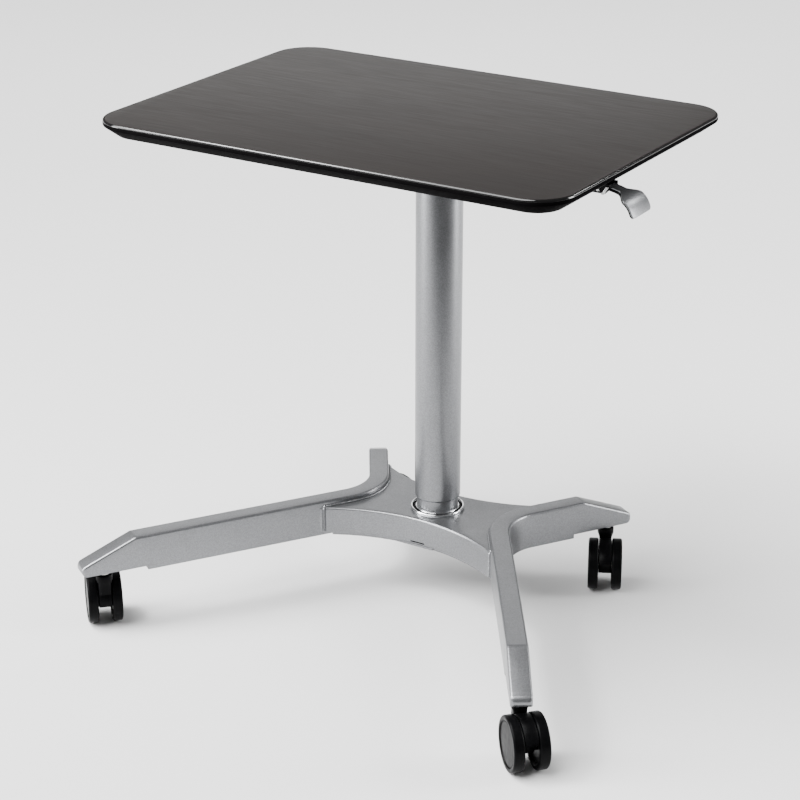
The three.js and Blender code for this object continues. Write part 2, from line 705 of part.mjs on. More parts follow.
function leverBody() {
  const half = LEVER_ARM_WIDTH / 2 - 0.5;
  const top = LEVER_COVER + GAP;
  const lowerAt = (x) => (
    top + THREE.MathUtils.lerp(LEVER_BODY_ARM, LEVER_BODY_PADDLE, leverFlare(x))
  );
  const sheet = leverSheet(top, lowerAt, 302, 0.5);
  const boss = crossRod(LEVER_BOSS, ...LEVER_PIVOT, LEVER_Y - half, LEVER_Y + half);
  const bore = crossRod(CROSS_PIN_RADIUS + GAP, ...LEVER_PIVOT, LEVER_Y - 20, LEVER_Y + 20);
  return cut(joined(sheet, boss), bore);
}

// The black housing that carries the lever: two cheeks, a back and a flange under the worktop.
const BRACKET_HALF = LEVER_ARM_WIDTH / 2 + 1 + BRACKET_WALL;

function leverBracket() {
  const cheek = new THREE.Shape();
  cheek.moveTo(BRACKET_BACK, HEAD_TOP);
  cheek.lineTo(BRACKET_BACK, BRACKET_BOTTOM + BRACKET_ROUND);
  cheek.quadraticCurveTo(BRACKET_BACK, BRACKET_BOTTOM, BRACKET_BACK + BRACKET_ROUND, BRACKET_BOTTOM);
  cheek.lineTo(BRACKET_FRONT - BRACKET_CHAMFER, BRACKET_BOTTOM);
  cheek.lineTo(BRACKET_FRONT, BRACKET_BOTTOM + BRACKET_CHAMFER);
  cheek.lineTo(BRACKET_FRONT, HEAD_TOP);
  cheek.closePath();
  const wall = sidePlate(cheek, LEVER_Y, 2 * BRACKET_HALF, 4);
  const inner = BRACKET_HALF - BRACKET_WALL;
  const inside = block(
    [BRACKET_BACK + BRACKET_WALL, LEVER_Y - inner, BRACKET_BOTTOM - 1],
    [BRACKET_FRONT + 2, LEVER_Y + inner, HEAD_TOP + 1],
  );
  const [flangeX, flangeY, flangeZ] = BRACKET_FLANGE;
  const flange = block(
    [BRACKET_BACK - 2, LEVER_Y - flangeY / 2, HEAD_TOP - flangeZ],
    [BRACKET_BACK - 2 + flangeX, LEVER_Y + flangeY / 2, HEAD_TOP],
  );
  const screwHoles = BRACKET_SCREWS.map(([x, y]) => (
    rod(SCREW_RADIUS + GAP, HEAD_TOP - 10, HEAD_TOP + 1, 12).translate(x, y, 0)
  ));
  const pinHole = crossRod(CROSS_PIN_RADIUS + GAP, ...LEVER_PIVOT, LEVER_Y - 40, LEVER_Y + 40);
  const cableHole = rod(CABLE_BORE, -20, 20).rotateY(Math.PI / 2)
    .translate(BRACKET_BACK, CABLE_LEVER.y, CABLE_LEVER.z);
  return cut(joined(wall, flange), inside, ...screwHoles, pinHole, cableHole);
}

function leverPin() {
  const half = BRACKET_HALF + 1.2;
  return crossRod(CROSS_PIN_RADIUS, ...LEVER_PIVOT, LEVER_Y - half, LEVER_Y + half);
}

// A bright steel brace across the bracket's front cheek.
function bracketBrace() {
  const [low, high] = [BRACKET_BOTTOM - 1, HEAD_TOP - 3];
  const top = BRACKET_FRONT - BRACE_WIDTH;
  const shape = new THREE.Shape();
  shape.moveTo(top - BRACE_LEAN, low);
  shape.lineTo(top - BRACE_LEAN + BRACE_WIDTH, low);
  shape.lineTo(top + BRACE_WIDTH, high);
  shape.lineTo(top, high);
  shape.closePath();
  return sidePlate(shape, LEVER_Y - BRACKET_HALF - GAP - BRACE_THICK / 2, BRACE_THICK);
}

// ---------------------------------------------------------------- release cable

function releaseCable() {
  const section = new THREE.Shape();
  section.absarc(0, 0, CABLE_RADIUS, 0, 2 * Math.PI);
  return new THREE.ExtrudeGeometry(section, {
    steps: 30, curveSegments: 4, bevelEnabled: false, extrudePath: CABLE_ROUTE,
  });
}

// A saddle clip that holds the cable up against the worktop.
function cableClip(along) {
  const at = CABLE_ROUTE.getPointAt(along);
  const tangent = CABLE_ROUTE.getTangentAt(along);
  const half = CLIP_LENGTH / 2;
  const inner = CABLE_RADIUS + GAP;
  const reach = inner + CLIP_WALL;
  const [footReach, footThick] = CLIP_FOOT;
  const outside = block([-half, -reach, at.z - reach], [half, reach, HEAD_TOP]);
  const foot = block([-half, -reach - footReach, HEAD_TOP - footThick], [half, 1 - reach, HEAD_TOP]);
  const groove = block([-half - 1, -inner, at.z - inner], [half + 1, inner, HEAD_TOP + 1]);
  return cut(joined(outside, foot), groove)
    .rotateZ(Math.atan2(tangent.y, tangent.x))
    .translate(at.x, at.y, 0);
}

// ---------------------------------------------------------------- casters

// Caster pieces are drawn about the swivel axis, rolling along x, the wheels trailing at +x.

function wheel(direction) {
  const near = WHEEL_GAP / 2;
  const far = near + WHEEL_WIDTH;
  const profile = [
    [0, far - 5], [AXLE_RADIUS + GAP, far - 5], [AXLE_RADIUS + GAP, near + 5], [29, near + 5],
    [31, near], [35.5, near], [WHEEL_RADIUS, near + 3], [WHEEL_RADIUS, far - 4],
    [34.5, far], [0, far],
  ];
  return turned(profile, 28).rotateX(-Math.PI / 2 * direction).translate(TRAIL, 0, WHEEL_RADIUS);
}

function axle() {
  const half = WHEEL_GAP / 2 + WHEEL_WIDTH - 5.5;
  return crossRod(AXLE_RADIUS, TRAIL, WHEEL_RADIUS, -half, half);
}

// The moulded housing: a web and hood between the wheels, and the neck above it.
function housing() {
  const rim = WHEEL_RADIUS - 1.5;
  const web = new THREE.Shape();
  web.absarc(TRAIL, WHEEL_RADIUS, 15, -Math.PI * 0.75, Math.PI * 0.12, false);
  web.absarc(TRAIL, WHEEL_RADIUS, rim, Math.PI * 0.28, Math.PI * 0.97, false);
  web.closePath();
  const plate = sidePlate(web, 0, WHEEL_GAP - 1.6, 10);
  const neck = rod(NECK_RADIUS, NECK_BOTTOM, NECK_TOP, 24);
  const root = block([-7, -WHEEL_GAP / 2 + 0.8, 60], [9, WHEEL_GAP / 2 - 0.8, NECK_BOTTOM + 2]);
  const stemHole = rod(STEM_RADIUS + GAP, NECK_TOP - 16 - GAP, NECK_TOP + 1);
  const axleHole = crossRod(AXLE_RADIUS + GAP, TRAIL, WHEEL_RADIUS, -20, 20);
  return cut(joined(plate, neck, root), stemHole, axleHole);
}

function stem() {
  const collar = NECK_TOP + GAP;
  return turned([
    [0, NECK_TOP - 16], [STEM_RADIUS, NECK_TOP - 16], [STEM_RADIUS, collar], [9, collar],
    [9, collar + 2.4], [STEM_RADIUS, collar + 2.4], [STEM_RADIUS, SOCKET_TOP - 1.5],
    [STEM_RADIUS - 1.5, SOCKET_TOP], [0, SOCKET_TOP],
  ], 20);
}

function socket() {
  return tube(
    STEM_RADIUS + GAP, STEM_RADIUS + GAP + SOCKET_WALL, SOCKET_BOTTOM, SOCKET_TOP, ROUND_SMALL,
  );
}

// ---------------------------------------------------------------- assembly

const desk = new THREE.Group();

function add(name, geometry, material, parent = desk) {
  const mesh = new THREE.Mesh(geometry, material);
  mesh.name = name;
  parent.add(mesh);
}

add('left_leg', leg(-1), silver);
add('right_leg', leg(1), silver);
add('hub', hub(), silver);
add('base_plate', basePlate(), silver);
add('column_foot', columnFoot(), steel);
FOOT_BOLTS.forEach((place, i) => add(`foot_bolt_${i + 1}`, footBolt(place), steel));
add('inner_column', tube(COLUMN_RADIUS - COLUMN_WALL, COLUMN_RADIUS, FOOT_TOP + GAP, COLUMN_TOP), silver);
add('trim_ring', trimRing(), chrome);
add('upper_bush', bush(COLUMN_TOP - BUSH_LENGTH - 2), acetal);
add('piston_rod', pistonRod(), chrome);
add('rod_nut', rodNut(), steel);

add('worktop', worktop(), laminate);
add('edge_band', edgeBand(), blackEdge);
add('column_head', columnHead(), blackPaint);
HEAD_SCREWS.forEach((place, i) => {
  add(`head_screw_${i + 1}`, screw(place, HEAD_TOP - HEAD_FLANGE[2]), steel);
});
add('outer_sleeve', outerSleeve(), silver);
add('lower_bush', bush(SLEEVE_BOTTOM + SLEEVE_SHOULDER + 2), acetal);
add('lift_cylinder', liftCylinder(), blackPaint);
add('release_pin', releasePin(), steel);
add('release_arm', releaseArm(), steel);
add('release_arm_pin', armPin(), steel);

add('lever_bracket', leverBracket(), blackPaint);
add('bracket_brace', bracketBrace(), steel);
BRACKET_SCREWS.forEach((place, i) => add(`bracket_screw_${i + 1}`, screw(place, HEAD_TOP - 2.5), steel));
add('lever_pin', leverPin(), steel);
add('lever_cover', leverCover(), silver);
add('lever_body', leverBody(), nylon);
add('release_cable', releaseCable(), nylon);
CLIPS.forEach((along, i) => add(`cable_clip_${i + 1}`, cableClip(along), nylon));

for (const caster of CASTERS) {
  const place = new THREE.Group();
  place.position.set(...stemPlace(caster), 0);
  place.rotation.z = radians(caster.heading);
  desk.add(place);
  add(`socket_${caster.name}`, socket(), steel, place);
  add(`stem_${caster.name}`, stem(), steel, place);
  add(`housing_${caster.name}`, housing(), nylon, place);
  add(`axle_${caster.name}`, axle(), steel, place);
  add(`wheel_a_${caster.name}`, wheel(1), nylon, place);
  add(`wheel_b_${caster.name}`, wheel(-1), nylon, place);
}

// The origin: on the floor, in the middle of the whole desk's footprint.
const extent = new THREE.Box3().setFromObject(desk, true);
const middle = extent.getCenter(new THREE.Vector3());
desk.position.set(-middle.x, -middle.y, -extent.min.z);

export default desk;
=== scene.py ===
"""Looks for the mobile standing desk: the shown pieces, their materials, the floor and the light.

Lengths in this file are millimetres in the desk's own frame, with the column on x = y = 0 and
the floor at z = 0; MM and at() turn them into metres in the shared frame.
"""

import json
import math

import bmesh
import bpy
import numpy as np
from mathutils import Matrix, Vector

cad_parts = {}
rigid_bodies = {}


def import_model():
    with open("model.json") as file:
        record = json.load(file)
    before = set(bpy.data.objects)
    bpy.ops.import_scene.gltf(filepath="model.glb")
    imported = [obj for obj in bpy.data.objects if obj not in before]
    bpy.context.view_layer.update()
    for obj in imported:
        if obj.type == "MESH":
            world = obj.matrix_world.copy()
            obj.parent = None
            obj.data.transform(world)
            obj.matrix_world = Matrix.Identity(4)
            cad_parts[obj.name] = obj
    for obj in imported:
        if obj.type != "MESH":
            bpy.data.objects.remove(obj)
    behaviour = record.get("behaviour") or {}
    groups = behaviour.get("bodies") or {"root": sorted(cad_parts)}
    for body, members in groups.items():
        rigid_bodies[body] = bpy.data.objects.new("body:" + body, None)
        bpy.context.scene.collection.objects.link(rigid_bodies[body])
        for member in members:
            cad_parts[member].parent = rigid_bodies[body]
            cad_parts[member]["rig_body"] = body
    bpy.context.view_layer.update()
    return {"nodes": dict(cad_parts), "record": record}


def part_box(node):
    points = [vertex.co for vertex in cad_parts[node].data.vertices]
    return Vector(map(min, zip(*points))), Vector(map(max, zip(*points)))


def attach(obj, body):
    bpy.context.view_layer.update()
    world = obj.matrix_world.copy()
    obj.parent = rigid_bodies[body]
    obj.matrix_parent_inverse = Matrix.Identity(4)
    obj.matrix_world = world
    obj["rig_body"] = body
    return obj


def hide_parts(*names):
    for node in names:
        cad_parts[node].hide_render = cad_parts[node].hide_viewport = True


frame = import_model()

MM = 0.001
NODES = frame["nodes"]
NODE_SLOT = {part["node"]: part["material_slot"] for part in frame["record"]["subparts"]}


def middle(node):
    low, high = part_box(node)
    return (low + high) / 2


AXIS = middle("outer_sleeve")


def at(x, y, z):
    return Vector((AXIS.x + x * MM, AXIS.y + y * MM, z * MM))


# ------------------------------------------------------------------ dimensions

TOP_SIZE = (700, 500)
TOP_CORNER = 54
TOP_FORWARD = 75
TOP_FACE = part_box("worktop")[1].z / MM
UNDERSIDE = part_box("worktop")[0].z / MM
BEVEL_INSET = 20.5
BEVEL_RISE = 15
BAND_WALL = 2

LEG_HALF = 14.5
LEG_TOP = 138
LEG_BOTTOM = 84
LEG_UNDER = 90
LEG_NOSE = 9
LEG_CORNER = 6
LEG_SLOPE = 80
LEG_RELIEF = 97
LEG_BEND = 78
KNEE = Vector((99.6, 0))
FRONT_TIP = Vector((354, -386))
BACK_TIP = Vector((217, 182))

HUB_TOP = 129
HUB_BOTTOM = 88.6
HUB_WAIST = 51.8
HUB_FLARE = 269

SLEEVE = 33
SLEEVE_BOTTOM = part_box("outer_sleeve")[0].z / MM
SLEEVE_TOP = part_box("outer_sleeve")[1].z / MM
COLUMN = 30

LEVER_Y = -140
PADDLE_CORNER = 6
WHEEL = 37.5
WHEEL_GAP = 19

# ------------------------------------------------------------------ materials


class Surface:
    """A procedural material, built on the piece's own coordinates."""

    def __init__(self, name, metallic=0.0):
        self.material = bpy.data.materials.new(name)
        self.material.use_nodes = True
        self.tree = self.material.node_tree
        self.shader = self.tree.nodes["Principled BSDF"]
        self.shader.inputs["Metallic"].default_value = metallic
        self.place = self.tree.nodes.new("ShaderNodeTexCoord").outputs["Object"]

    def node(self, kind, inputs, **settings):
        made = self.tree.nodes.new(kind)
        for key, value in settings.items():
            setattr(made, key, value)
        for key, value in inputs.items():
            if isinstance(value, bpy.types.NodeSocket):
                self.tree.links.new(value, made.inputs[key])
            else:
                made.inputs[key].default_value = value
        return made

    def noise(self, size, detail=3, stretch=(1, 1, 1)):
        """Soft noise whose features are size millimetres across."""
        place = self.node("ShaderNodeMapping", {"Vector": self.place, "Scale": stretch})
        return self.node("ShaderNodeTexNoise", {
            "Vector": place.outputs["Vector"], "Scale": 1 / (size * MM), "Detail": detail,
        }).outputs["Fac"]

    def flakes(self, size):
        """A random value for each cell, size millimetres across."""
        cells = self.node("ShaderNodeTexVoronoi", {
            "Vector": self.place, "Scale": 1 / (size * MM),
        })
        return self.node("ShaderNodeSeparateColor", {
            "Color": cells.outputs["Color"],
        }).outputs["Red"]

    def spread(self, value, low, high, start=0.3, end=0.7):
        return self.node("ShaderNodeMapRange", {
            "Value": value, "From Min": start, "From Max": end, "To Min": low, "To Max": high,
        }).outputs["Result"]

    def blend(self, share, first, second):
        mixed = self.node("ShaderNodeMix", {"Factor": share}, data_type="RGBA")
        mixed.inputs["A"].default_value = (*first, 1)
        mixed.inputs["B"].default_value = (*second, 1)
        return mixed.outputs["Result"]

    def shine(self, level):
        self.shader.inputs["Specular IOR Level"].default_value = level

    def colour(self, value):
        self.tree.links.new(value, self.shader.inputs["Base Color"])

    def rough(self, value):
        self.tree.links.new(value, self.shader.inputs["Roughness"])

    def relief(self, *heights):
        """Bumps: pairs of a height value and its depth in millimetres."""
        normal = None
        for height, depth in heights:
            inputs = {"Height": height, "Strength": 1.0, "Distance": depth * MM}
            if normal is not None:
                inputs["Normal"] = normal
            normal = self.node("ShaderNodeBump", inputs).outputs["Normal"]
        self.tree.links.new(normal, self.shader.inputs["Normal"])


def silver_paint():
    s = Surface("silver_paint", metallic=0.85)
    grain = s.spread(s.flakes(1.1), 0.0, 1.0, 0, 1)
    cloud = s.spread(s.noise(26), 0.0, 1.0)
    s.colour(s.blend(grain, (0.168, 0.171, 0.178), (0.226, 0.23, 0.238)))
    s.rough(s.spread(cloud, 0.31, 0.37, 0, 1))
    s.relief((s.noise(1.6, 2), 0.014), (s.flakes(0.7), 0.006))
    return s.material


def chrome():
    s = Surface("chrome", metallic=1.0)
    s.colour(s.blend(s.noise(30), (0.78, 0.79, 0.8), (0.86, 0.87, 0.88)))
    s.rough(s.spread(s.noise(9), 0.05, 0.12))
    s.relief((s.noise(14, 2), 0.01))
    return s.material


def bare_steel():
    s = Surface("bare_steel", metallic=1.0)
    s.colour(s.blend(s.noise(6, 5), (0.42, 0.42, 0.41), (0.58, 0.585, 0.59)))
    s.rough(s.spread(s.noise(3, 4), 0.26, 0.42))
    s.relief((s.noise(0.8, 3), 0.01))
    return s.material


def dark_laminate():
    s = Surface("dark_laminate")
    grain = s.noise(2.2, 6, (0.04, 1, 1))
    broad = s.noise(60, 4, (0.25, 1, 1))
    share = s.node("ShaderNodeMath", {0: grain, 1: broad}, operation="MULTIPLY").outputs[0]
    s.colour(s.blend(
        s.spread(share, 0, 1, 0.05, 0.5), (0.0086, 0.0072, 0.0067), (0.0131, 0.0112, 0.0104),
    ))
    s.rough(s.spread(grain, 0.42, 0.5))
    s.shine(0.11)
    s.relief((grain, 0.012), (s.noise(0.5, 2), 0.008))
    return s.material


def black_moulding():
    s = Surface("black_moulding")
    s.colour(s.blend(s.noise(12), (0.002, 0.0019, 0.002), (0.004, 0.0037, 0.004)))
    s.rough(s.spread(s.noise(5), 0.4, 0.5))
    s.shine(0.001)
    s.relief((s.noise(2.5, 2), 0.01))
    return s.material


def black_lip():
    s = Surface("black_lip")
    s.colour(s.blend(s.noise(12), (0.002, 0.0019, 0.002), (0.004, 0.0037, 0.004)))
    s.rough(s.spread(s.noise(6), 0.08, 0.11))
    s.relief((s.noise(40, 2), 0.002))
    return s.material


def black_nylon():
    s = Surface("black_nylon")
    s.colour(s.blend(s.noise(4, 4), (0.0012, 0.0012, 0.0013), (0.0026, 0.0026, 0.003)))
    s.rough(s.spread(s.noise(8), 0.28, 0.38))
    s.shine(0.04)
    s.relief((s.noise(0.5, 3), 0.02))
    return s.material


def acetal():
    s = Surface("acetal")
    s.colour(s.blend(s.noise(20), (0.62, 0.61, 0.57), (0.7, 0.69, 0.65)))
    s.rough(s.spread(s.noise(6), 0.38, 0.5))
    return s.material


def black_paint():
    s = Surface("black_paint", metallic=0.1)
    s.colour(s.blend(s.noise(3, 4), (0.003, 0.003, 0.0033), (0.006, 0.006, 0.0065)))
    s.rough(s.spread(s.noise(7), 0.38, 0.5))
    s.shine(0.05)
    s.relief((s.noise(0.9, 3), 0.04))
    return s.material


MATERIALS = {build.__name__: build() for build in (
    silver_paint, chrome, bare_steel, dark_laminate, black_moulding, black_lip, black_nylon,
    acetal, black_paint,
)}

# ------------------------------------------------------------------ mesh helpers


def shown(name, data, body, slot, nodes=(), crease=32, ease=0.0, finish=None):
    """A finished piece: shaded, given its material, and riding on its body. The material is
    the one named after its slot, unless a finish is given."""
    mesh = bmesh.new()
    mesh.from_mesh(data)
    bmesh.ops.remove_doubles(mesh, verts=mesh.verts, dist=1e-6)
    bmesh.ops.recalc_face_normals(mesh, faces=mesh.faces)
    mesh.to_mesh(data)
    mesh.free()
    data.shade_smooth()
    data.set_sharp_from_angle(angle=math.radians(crease))
    data.materials.clear()
    data.materials.append(MATERIALS[finish or slot])
    thing = bpy.data.objects.new(name, data)
    bpy.context.scene.collection.objects.link(thing)
    if ease:
        eased = thing.modifiers.new("eased", "BEVEL")
        eased.width = ease * MM
        eased.segments = 3
        eased.limit_method = "ANGLE"
        eased.angle_limit = math.radians(crease)
        eased.harden_normals = True
    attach(thing, body)
    if nodes:
        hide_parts(*nodes)
    return thing


def piece(name, points, faces, body, slot, nodes=(), crease=32, ease=0.0, finish=None):
    data = bpy.data.meshes.new(name)
    data.from_pydata(points, [], faces)
    return shown(name, data, body, slot, nodes, crease, ease, finish)


def skin(rings, closed=False, capped=True):
    """Faces through rings of equal length."""
    count = len(rings[0])
    points = [point for ring in rings for point in ring]
    faces = []
    for r in range(len(rings) if closed else len(rings) - 1):
        a = r * count
        b = (r + 1) % len(rings) * count
        for i in range(count):
            j = (i + 1) % count
            faces.append((a + i, a + j, b + j, b + i))
    if capped and not closed:
        faces.append(tuple(range(count)))
        faces.append(tuple(range(len(points) - count, len(points))))
    return points, faces


def lathe(profile, place=at, facets=96, closed=False):
    """A profile of (radius, height) turned about the z axis; place() puts it in the frame."""
    turns = [2 * math.pi * i / facets for i in range(facets)]
    return skin(
        [[place(r * math.cos(a), r * math.sin(a), z) for a in turns] for r, z in profile],
        closed,
    )


def arc(centre, radius, start, end, steps=6):
    """Points on an arc, angles in degrees."""
    turns = [math.radians(start + (end - start) * i / steps) for i in range(steps + 1)]
    return [(centre[0] + radius * math.cos(a), centre[1] + radius * math.sin(a)) for a in turns]


def rounded(half, low, high, upper, lower, steps=5):
    """A rounded rectangle as (across, up) points."""
    limit = min(half, (high - low) / 2) * 0.98
    upper, lower = min(upper, limit), min(lower, limit)
    return [
        *arc((half - lower, low + lower), lower, -90, 0, steps),
        *arc((half - upper, high - upper), upper, 0, 90, steps),
        *arc((upper - half, high - upper), upper, 90, 180, steps),
        *arc((lower - half, low + lower), lower, 180, 270, steps),
    ]


def refined(node, ease=0.35):
    """A small part as it is in the frame, with clean faces, eased edges and its finish."""
    data = NODES[node].data.copy()
    mesh = bmesh.new()
    mesh.from_mesh(data)
    bmesh.ops.remove_doubles(mesh, verts=mesh.verts, dist=1e-6)
    bmesh.ops.dissolve_limit(
        mesh, angle_limit=math.radians(1), verts=mesh.verts, edges=mesh.edges,
    )
    mesh.to_mesh(data)
    mesh.free()
    body = NODES[node]["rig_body"]
    return shown("shown_" + node, data, body, NODE_SLOT[node], [node], ease=ease)


# ------------------------------------------------------------------ worktop


def top_ring(inset, z, steps=20):
    """The worktop's rounded rectangle, drawn in by an inset, at a height."""
    x, y, r = TOP_SIZE[0] / 2 - inset, TOP_SIZE[1] / 2 - inset, TOP_CORNER - inset
    corners = [(x - r, y - r, 0), (r - x, y - r, 90), (r - x, r - y, 180), (x - r, r - y, 270)]
    return [
        at(px, py - TOP_FORWARD, z)
        for cx, cy, start in corners
        for px, py in arc((cx, cy), r, start, start + 90, steps)
    ]


def worktop():
    inner = BAND_WALL + 0.5
    knee = UNDERSIDE + BEVEL_RISE
    profile = [
        (BEVEL_INSET + inner, UNDERSIDE),
        (inner, knee),
        *[(inner + 0.9 - a, z) for a, z in arc((0, TOP_FACE - 0.9), 0.9, 0, 90, 4)],
    ]
    points, faces = skin([top_ring(inset, z) for inset, z in profile])
    piece("board", points, faces, "top", "dark_laminate", ["worktop"], crease=50)


def edge_moulding():
    knee = UNDERSIDE + BEVEL_RISE
    lip = 3.0
    slope = math.degrees(math.atan2(BEVEL_RISE, BEVEL_INSET))
    lower = 2.4
    reach = lower * math.tan(math.radians((90 - slope) / 2))
    profile = [
        (lip * 0.5, TOP_FACE - lip - 0.15),
        (0.15, TOP_FACE - lip - 0.15),
        (0, TOP_FACE - lip - 0.3),
        *arc((lower, knee + reach), -lower, 0, 90 - slope, 6),
        (BEVEL_INSET - 1.2, UNDERSIDE + 0.7),
        (BEVEL_INSET + 0.2, UNDERSIDE),
        (BEVEL_INSET + BAND_WALL, UNDERSIDE),
        (BAND_WALL, knee + 1),
        (BAND_WALL, TOP_FACE - lip - 0.6),
    ]
    points, faces = skin([top_ring(inset, z) for inset, z in profile], closed=True)
    piece("edge_moulding", points, faces, "top", "black_moulding", ["edge_band"], crease=60)
    profile = [
        *[(lip - a, z) for a, z in arc((0, TOP_FACE - lip), lip, 70, 0, 10)],
        (0.15, TOP_FACE - lip - 0.1),
        (BAND_WALL, TOP_FACE - lip - 0.1),
        (BAND_WALL, TOP_FACE - 1.2),
    ]
    points, faces = skin([top_ring(inset, z) for inset, z in profile], closed=True)
    piece(
        "edge_lip", points, faces, "top", "black_moulding", ["edge_band"], crease=60,
        finish="black_lip",
    )


# ------------------------------------------------------------------ legs and hub


def leg_path():
    """The leg's centre line from the front tip to the back one: (point, direction, distance
    to the nearer tip)."""
    near = [0.12, 0.5, 1.2, 2.2, 3.5, 5.57, 7.5, 9, 12, 20, 35, 50, 65, 76, 79, 81, 84, 92,
            LEG_RELIEF - 0.1, LEG_RELIEF + 0.1, 105]
    front = (FRONT_TIP - KNEE).normalized()
    back = (BACK_TIP - KNEE).normalized()
    half = math.acos(front.dot(back)) / 2
    reach = LEG_BEND / math.tan(half)
    centre = KNEE + (front + back).normalized() * (LEG_BEND / math.sin(half))
    path = [(FRONT_TIP - front * d, -front, d) for d in near]
    start = KNEE + front * reach - centre
    turn = start.angle_signed(KNEE + back * reach - centre)
    steps = 28
    for i in range(steps + 1):
        angle = -turn * i / steps
        spoke = Vector((
            start.x * math.cos(angle) - start.y * math.sin(angle),
            start.x * math.sin(angle) + start.y * math.cos(angle),
        ))
        along = Vector((-spoke.y, spoke.x)).normalized() * (1 if angle > 0 or turn < 0 else -1)
        path.append((centre + spoke, along, 999))
    path += [(BACK_TIP - back * d, back, d) for d in reversed(near)]
    return path


PATH = leg_path()


def leg_section(distance):
    """The leg's cross-section at a distance from its tip."""
    rise = LEG_TOP - LEG_UNDER - LEG_NOSE
    run = LEG_SLOPE - LEG_NOSE
    lean = math.atan2(rise, run) - math.asin(LEG_NOSE / math.hypot(rise, run))
    top = LEG_TOP - max(0.0, LEG_SLOPE - distance) * math.tan(lean)
    bottom = LEG_UNDER if distance < LEG_RELIEF else LEG_BOTTOM
    if distance < LEG_NOSE:
        swell = math.sqrt(LEG_NOSE ** 2 - (LEG_NOSE - distance) ** 2)
        bottom = LEG_UNDER + LEG_NOSE - swell
        top = min(top, LEG_UNDER + LEG_NOSE + swell)
    half = LEG_HALF
    if distance < LEG_CORNER:
        half += math.sqrt(LEG_CORNER ** 2 - (LEG_CORNER - distance) ** 2) - LEG_CORNER
    return rounded(half, bottom, top, 3.4, 2.2)


def leg(side, name):
    rings = []
    for point, along, distance in PATH:
        across = Vector((-along.y, along.x))
        rings.append([
            at(side * (point.x + across.x * a), point.y + across.y * a, z)
            for a, z in leg_section(distance)
        ])
    points, faces = skin(rings)
    piece(name + "_bar", points, faces, "base", "silver_paint", [name], crease=40)


INNER_FACE = sorted(
    (point.y + side.y * LEG_HALF, point.x + side.x * LEG_HALF)
    for point, side in (
        (point, Vector((-abs(along.y), along.x * (1 if along.y > 0 else -1))))
        for point, along, distance in PATH
    )
)


def leg_face(y):
    """How far from the column the leg's near side is, at a place along y."""
    return float(np.interp(y, [a for a, _ in INNER_FACE], [b for _, b in INNER_FACE]))


def hub_edge(x):
    return HUB_WAIST + HUB_FLARE - math.sqrt(HUB_FLARE ** 2 - x ** 2)


def hub_point(u, v, inset, sink=2.0):
    """A plan point of the hub: u runs from leg to leg and v from front to back, both -1 to 1."""
    x, y = u * 120.0, 0.0
    for _ in range(8):
        y = v * (hub_edge(x) - inset)
        x = u * (leg_face(y) + sink)
    return x, y


def hub():
    ease = 3.2
    side = [(ease - a, z) for a, z in arc((0, HUB_TOP - ease), ease, 0, 90, 6)]
    rise = [(1.4, HUB_BOTTOM), (0, HUB_BOTTOM + 1.4), *side]
    loop = [(-1, inset, z) for inset, z in rise]
    loop += [(v / 8, ease, HUB_TOP) for v in range(-7, 8)]
    loop += [(1, inset, z) for inset, z in reversed(rise)]
    loop += [(v / 8, 1.4, HUB_BOTTOM) for v in range(7, -8, -1)]
    rings = []
    steps = 48
    for i in range(steps + 1):
        u = 2 * i / steps - 1
        rings.append([at(*hub_point(u, v, inset), z) for v, inset, z in loop])
    points, faces = skin(rings, capped=False)  # both ends stop inside the legs
    piece("hub_body", points, faces, "base", "silver_paint", ["hub"], crease=40)


def painted_slot_shade():
    """A black strip set in the hub's front face, painted shade for the dark gap above the base
    plate's tab.
    """
    rings = []
    for i in range(13):
        x = -14 + 23 * i / 12
        y = -hub_edge(x)
        rings.append([at(x, y + inward, z) for inward, z in (
            (1.2, 91.3), (-0.15, 91.3), (-0.15, 93.1), (1.2, 93.1),
        )])
    points, faces = skin(rings)
    piece("painted_slot_shade", points, faces, "base", "black_moulding", crease=40)


def along_line(line):
    """A line of (x, y, z) points as a function of the distance along it, and its length."""
    spots = [Vector(p) for p in line]
    lengths = [0.0]
    for a, b in zip(spots, spots[1:]):
        lengths.append(lengths[-1] + (b - a).length)

    def spot(distance):
        return Vector([np.interp(distance, lengths, [p[k] for p in spots]) for k in range(3)])

    return spot, lengths[-1]


def bead(name, line, radius):
    """A weld bead with its ripples."""
    spot, total = along_line(line)
    count = max(8, int(total / 0.5))
    turns = [2 * math.pi * k / 10 for k in range(10)]
    rings = []
    for i in range(count + 1):
        s = total * i / count
        along = (spot(s + 1) - spot(s - 1)).normalized()
        if abs(along.z) > 0.9:
            first = along.orthogonal().normalized()
        else:
            first = along.cross((0, 0, 1)).normalized()
        second = along.cross(first)
        ends = min(1.0, 0.35 + min(s, total - s) / 3)
        r = radius * ends * (1 + 0.09 * math.sin(2 * math.pi * s / 2.3) + 0.05 * math.sin(s * 0.61))
        rings.append([
            at(*(spot(s) + first * (r * math.cos(a)) + second * (r * math.sin(a)))) for a in turns
        ])
    points, faces = skin(rings)
    piece(name, points, faces, "base", "silver_paint", crease=60)


def beads():
    for side, label in ((-1, "left"), (1, "right")):
        seam = []
        for i in range(41):
            v = 2 * i / 40 - 1
            x, y = hub_point(side, v, 2.0, sink=-0.6)
            seam.append((x, y, HUB_TOP + 0.4))
        bead("weld_" + label, seam, 2.3)
        for v, end in ((-1, "front"), (1, "back")):
            x, y = hub_point(side, v, 1.0, sink=-2.4)
            upright = [(x, y, HUB_BOTTOM + 1), (x, y, HUB_TOP + 0.6)]
            bead("weld_{}_{}".format(label, end), upright, 2.9)


# ------------------------------------------------------------------ column


